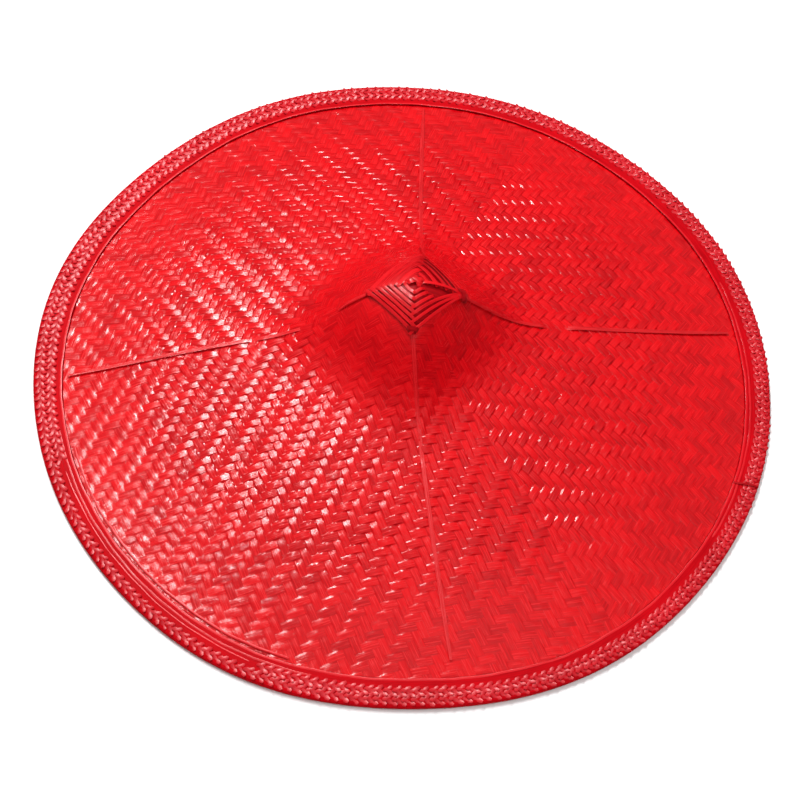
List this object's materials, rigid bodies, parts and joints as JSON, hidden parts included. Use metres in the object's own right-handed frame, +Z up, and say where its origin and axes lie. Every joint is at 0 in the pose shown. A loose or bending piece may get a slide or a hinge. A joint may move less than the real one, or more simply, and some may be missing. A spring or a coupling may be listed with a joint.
{
  "type": "conical bamboo hat",
  "caption": "Wide shallow conical sun hat of plaited bamboo, lacquered red, with a braided edge, splints on its creases and a four-cornered cap.",
  "frame": {"origin": "on the surface that the rim rests on, under the middle of the hat", "axes": "+Z up along the hat's axis, -Y towards the front of the picture's view, +X to the right in it"},
  "size_m": [0.42, 0.4184, 0.0884],
  "materials": {
    "plaited_bamboo": "red lacquered bamboo, satin to gloss",
    "braid": "red lacquered bamboo braid, gloss",
    "splint": "red lacquered bamboo splint, satin",
    "cap_splint": "red lacquered bamboo splint, satin to gloss"
  },
  "bodies": {
    "root": {"hat_shell": "plaited_bamboo", "edge_braid": "braid", "rib_right": "splint", "rib_back": "splint", "rib_left": "splint", "rib_front": "splint", "crown_cap": "cap_splint"}
  },
  "joints": []
}
